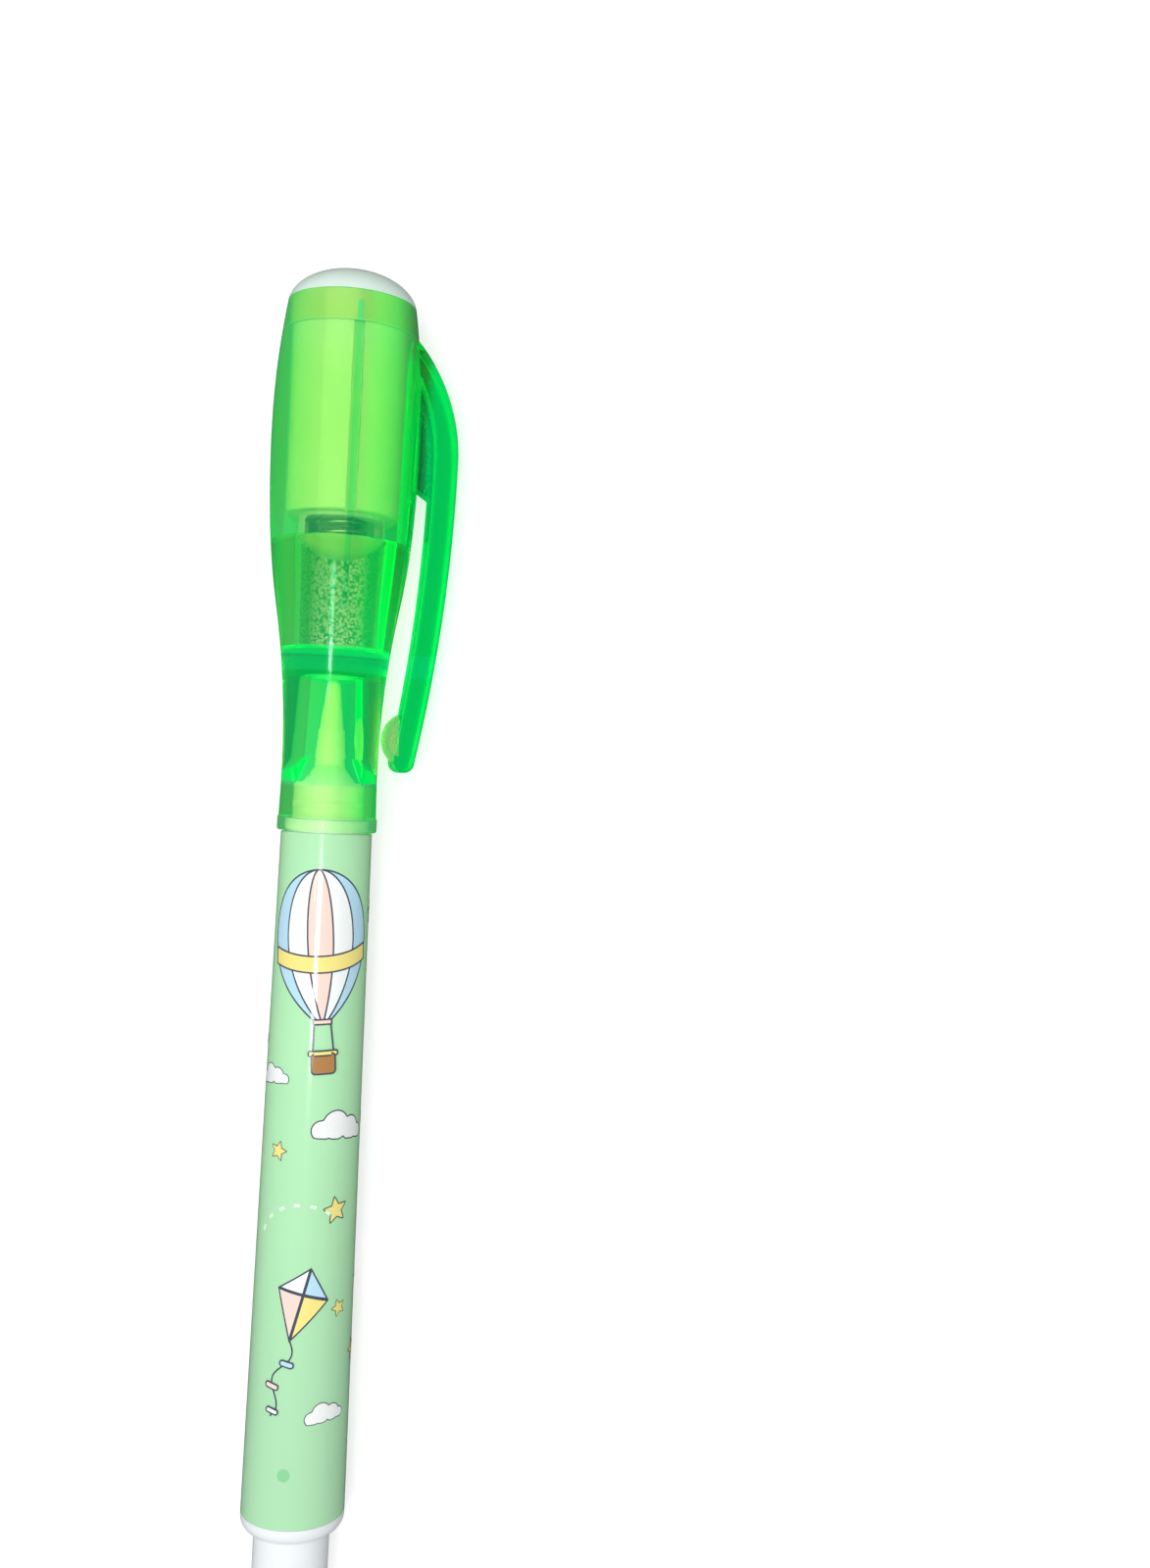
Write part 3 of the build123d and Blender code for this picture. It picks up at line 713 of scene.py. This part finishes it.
def gore(halfWide, up=5.2, down=7.0, cut=0.93):  # the outline of a balloon, or of a panel of it
    angles = [math.pi * k / 32 for k in range(33)]
    points = [(halfWide * math.cos(a), up * math.sin(a)) for a in angles]
    falls = [cut * k / 24 for k in range(1, 25)]
    low = [(halfWide * math.cos(math.pi / 2 * k) ** 0.85, -down * k) for k in falls]
    return points + [(-px, py) for px, py in low] + low[::-1]


def belt(halfWide, top, bottom, sag):  # a band that hangs round a balloon
    steps = [k / 16 for k in range(-16, 17)]
    lower = [(halfWide * k, bottom - sag * (1 - k * k)) for k in steps]
    upper = [(halfWide * k, top - sag * (1 - k * k)) for k in steps]
    return lower + upper[::-1]


def puffs(lobes, foot):  # lobes joined to one outline with a flat foot
    points = []
    for k in range(112):
        a = 2.0 * math.pi * k / 112
        reach = 0.0
        for px, py, size in lobes:
            ahead = px * math.cos(a) + py * math.sin(a)
            aside = py * math.cos(a) - px * math.sin(a)
            if abs(aside) < size:
                reach = max(reach, ahead + math.sqrt(size * size - aside * aside))
        if math.sin(a) < 0.0:
            reach = min(reach, foot / math.sin(a))
        points.append((reach * math.cos(a), reach * math.sin(a)))
    return points


def starPoints(size):
    corners = ((size, 0.0), (0.86 * size, 7.0), (0.50 * size, 36.0), (0.86 * size, 65.0))  # blunt tips
    points = []
    for arm in range(5):
        for reach, lean in corners:
            a = math.radians(72.0 * arm + lean)
            points.append((-reach * math.sin(a), reach * math.cos(a)))
    return points


def drawn():  # each motif: outlines with their ink, lined or not, the lowest first
    wave = [(0.55 * math.sin(1.5 * k / 4), -3.4 - 0.28 * k) for k in range(25)]
    bow = 4.6  # radius of the trail
    leans = [math.radians(v) for v in range(-62, 63, 4)]
    arc = [(bow * math.sin(a), bow * math.cos(a) - bow) for a in leans]
    dashes = [stroke(arc[k:k + 3], 0.34) for k in range(0, 29, 5)]
    lobes = ((-2.1, 0.0, 1.05), (-0.6, 0.6, 1.5), (1.2, 0.3, 1.25), (2.5, -0.15, 0.8))
    return {
        "balloon": (
            (gore(4.2), "inkBlue", True),
            (gore(2.75), "inkWhite", True),
            (gore(1.05), "inkPeach", True),
            (belt(4.02, -0.7, -2.1, 0.75), "inkYellow", True),
            (roundBox(1.5, 0.5, 0.15, 0.0, -6.55), "inkPeach", True),
            (stroke([(-0.62, -6.75), (-0.78, -8.9)], 0.12), "inkLine", False),
            (stroke([(0.62, -6.75), (0.78, -8.9)], 0.12), "inkLine", False),
            (roundBox(1.9, 1.7, 0.35, 0.0, -9.75), "inkBrown", True),
            (roundBox(2.3, 0.5, 0.2, 0.0, -8.95), "inkYellow", True),
        ),
        "cloud": ((puffs(lobes, -0.85), "inkWhite", True),),
        "star": ((starPoints(1.7), "inkYellow", True),),
        "trail": tuple((dash, "inkMint", False) for dash in dashes),
        "kite": (
            (stroke(wave, 0.13), "inkLine", False),
            ([(0.0, 3.0), (0.0, 0.6), (2.3, 0.6)][::-1], "inkBlue", True),
            ([(0.0, 3.0), (-2.3, 0.6), (0.0, 0.6)], "inkWhite", True),
            ([(-2.3, 0.6), (0.0, -3.6), (0.0, 0.6)], "inkPeach", True),
            ([(0.0, -3.6), (2.3, 0.6), (0.0, 0.6)], "inkYellow", True),
            (roundBox(1.3, 0.6, 0.28, 0.35, -5.4), "inkBlue", True),
            (roundBox(1.3, 0.6, 0.28, -0.35, -7.6), "inkPeach", True),
            (roundBox(1.2, 0.55, 0.26, 0.30, -9.6), "inkWhite", True),
        ),
        "mark": ((roundBox(1.25, 1.25, 0.62), "inkMark", False),),
    }


def inkPatch(points, ink, lined, level):  # one flat outline, with a line round it
    bpy.ops.object.select_all(action="DESELECT")
    bpy.ops.mesh.primitive_circle_add(vertices=len(points), fill_type="NGON", location=(0, 0, 0))
    patch = bpy.context.object
    for name in inkOrder:
        patch.data.materials.append(inkFinish[name])
    for vert, (px, py) in zip(patch.data.vertices, points):
        vert.co = (px, py, level)
    bpy.ops.object.mode_set(mode="EDIT")
    bpy.ops.mesh.select_all(action="SELECT")
    bpy.ops.mesh.normals_make_consistent(inside=False)
    if lined:
        bpy.ops.mesh.inset(thickness=motifs["lineWide"], depth=0.0, use_even_offset=True)
    bpy.ops.object.mode_set(mode="OBJECT")
    for face in patch.data.polygons:
        face.material_index = inkOrder.index(ink if face.select or not lined else "inkLine")
    return patch


def drawMotif(name, parts):
    patches = [inkPatch(*part, motifs["layer"] * k) for k, part in enumerate(parts, 1)]
    bpy.ops.object.select_all(action="DESELECT")
    for patch in patches:
        patch.select_set(True)
    bpy.context.view_layer.objects.active = patches[0]
    if len(patches) > 1:
        bpy.ops.object.join()
    patches[0].name = name + "Flat"
    return patches[0]


def filmRadius(along):
    (startZ, startR), (endZ, endR) = motifs["filmEnds"]
    return startR + (endR - startR) * (startZ - along) / (startZ - endZ)


# a copy of a motif, cut, given its thickness and wrapped on the film
def layMotif(flat, pieceName, around, along, turnDeg, size):
    bpy.ops.object.select_all(action="DESELECT")
    piece = bpy.data.objects.new(pieceName, flat.data.copy())
    scene.collection.objects.link(piece)
    piece.select_set(True)
    bpy.context.view_layer.objects.active = piece
    leanCos, leanSin = math.cos(math.radians(turnDeg)), math.sin(math.radians(turnDeg))
    for vert in piece.data.vertices:
        px, py, level = vert.co
        vert.co = (size * (px * leanCos - py * leanSin), size * (px * leanSin + py * leanCos), level)
    reach = max(abs(vert.co.x) for vert in piece.data.vertices)
    cuts = int(reach / motifs["cut"])
    bpy.ops.object.mode_set(mode="EDIT")
    for k in range(-cuts, cuts + 1):
        bpy.ops.mesh.select_all(action="SELECT")
        bpy.ops.mesh.bisect(plane_co=(k * motifs["cut"] + 0.01, 0, 0), plane_no=(1, 0, 0))
    bpy.ops.object.mode_set(mode="OBJECT")
    thick = piece.modifiers.new("inkThick", "SOLIDIFY")
    thick.thickness = motifs["inkThick"]
    thick.offset = -1.0
    bpy.ops.object.modifier_apply(modifier=thick.name)
    bpy.ops.object.material_slot_remove_unused()
    middle = math.radians(motifs["facing"] + around)
    for vert in piece.data.vertices:
        px, py, level = vert.co
        spot = along + py
        at = middle + px / filmRadius(along)
        out = filmRadius(spot) + level
        vert.co = fromBench(out * math.cos(at), out * math.sin(at), spot)
    bpy.ops.object.shade_smooth_by_angle(angle=math.radians(30.0))
    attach(piece, "pen")


flats = {name: drawMotif(name, parts) for name, parts in drawn().items()}
counts = {name: 0 for name in flats}
for name, around, along, turnDeg, size in motifs["places"]:
    counts[name] += 1
    layMotif(flats[name], "print_%s_%d" % (name, counts[name]), around, along, turnDeg, size)
for flat in flats.values():
    bpy.data.objects.remove(flat)
print("film printed with", sum(counts.values()), "motifs")

# felts
felts = {
    "nibFelt": {"nodes": "fibre_nib", "color": (0.92, 0.90, 0.88, 1.0), "shade": (0.80, 0.78, 0.74, 1.0)},
    "coreFelt": {"nodes": "ink_core", "color": (0.84, 0.84, 0.82, 1.0), "shade": (0.72, 0.72, 0.70, 1.0)},
}
strand = {"stretch": (9.0, 9.0, 0.6), "rough": 0.85, "bumpDeep": 0.00002, "bumpStrong": 0.6}
for feltName, s in felts.items():
    finish, tree, shader = newFinish(feltName, Roughness=strand["rough"])
    bench = groupNode(tree, benchPlace)
    lay = tree.nodes.new("ShaderNodeMapping")
    lay.inputs["Scale"].default_value = strand["stretch"]
    tree.links.new(bench.outputs["Place"], lay.inputs["Vector"])
    strands = tree.nodes.new("ShaderNodeTexNoise")
    strands.inputs["Scale"].default_value = 1.0
    tree.links.new(lay.outputs["Vector"], strands.inputs["Vector"])
    tone = blendColor(tree, strands.outputs["Fac"], s["shade"], s["color"])
    tree.links.new(tone, shader.inputs["Base Color"])
    bump(tree, shader, strands.outputs["Fac"], strand["bumpDeep"], strand["bumpStrong"])
    wear(s["nodes"], finish)

# clear pieces
clears = {
    "ink_core_wrap": {
        "name": "wrapClear",
        "Base_Color": (0.95, 0.97, 0.97, 1.0),
        "Roughness": 0.12,
        "IOR": 1.5,
        "Transmission_Weight": 1.0,
    },
    "uv_led": {
        "name": "ledClear",
        "Base_Color": (0.82, 0.84, 0.95, 1.0),
        "Roughness": 0.06,
        "IOR": 1.53,
        "Transmission_Weight": 0.4,
    },
}
for node, plain in clears.items():
    wear(node, newFinish(**plain)[0])

# metals
metals = {
    "leadTin": {"nodes": "led_short_lead led_long_lead", "color": (0.72, 0.72, 0.70, 1.0), "rough": 0.30},
    "springWire": {"nodes": "contact_spring", "color": (0.34, 0.35, 0.36, 1.0), "rough": 0.24},
    "cellCan": {
        "nodes": "button_cell_1 button_cell_2 button_cell_3",
        "color": (0.46, 0.47, 0.48, 1.0),
        "rough": 0.28,
    },
}
metalSkin = {"dull": 0.82, "roughReach": 0.08}
for metalName, s in metals.items():
    finish, tree, shader = newFinish(metalName, Metallic=1.0)
    marks = groupNode(tree, mouldMarks, FlowScale=1.2, GrainScale=20.0)
    dull = tuple(metalSkin["dull"] * v for v in s["color"][:3]) + (1.0,)
    tone = blendColor(tree, marks.outputs["Flow"], dull, s["color"])
    tree.links.new(tone, shader.inputs["Base Color"])
    rough = spread(tree, marks.outputs["Grain"], s["rough"], metalSkin["roughReach"])
    tree.links.new(rough, shader.inputs["Roughness"])
    wear(s["nodes"], finish)
print("film, felts, clear pieces and metals finished")

# the lamp's long lead is the leaf of the switch, which bends as the button goes in: here a merged copy of
# it is cut across where it bends
leaf = {
    "stillFrom": 45.4,  # along, from where it stays with the lamp
    "pushedTo": 40.4,  # and to where the button pushes it
    "cuts": 11,
    "cutClose": 0.000001,  # metres, also for merging the copy
}
bpy.ops.object.select_all(action="DESELECT")
leadLeaf = bpy.data.objects.new("lead_leaf", cad["led_long_lead"].data.copy())
scene.collection.objects.link(leadLeaf)
leadLeaf.select_set(True)
bpy.context.view_layer.objects.active = leadLeaf
bpy.ops.mesh.customdata_custom_splitnormals_clear()
bpy.ops.object.mode_set(mode="EDIT")
bpy.ops.mesh.select_all(action="SELECT")
bpy.ops.mesh.remove_doubles(threshold=leaf["cutClose"])
for k in range(leaf["cuts"]):
    spot = leaf["pushedTo"] + (leaf["stillFrom"] - leaf["pushedTo"]) * k / (leaf["cuts"] - 1)
    bpy.ops.mesh.select_all(action="SELECT")
    bpy.ops.mesh.bisect(plane_co=fromBench(0, 0, spot), plane_no=lampWay, threshold=leaf["cutClose"])
bpy.ops.object.mode_set(mode="OBJECT")
bpy.ops.object.shade_smooth_by_angle(angle=math.radians(30.0))
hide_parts("led_long_lead")
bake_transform(leadLeaf)
print("switch leaf made")
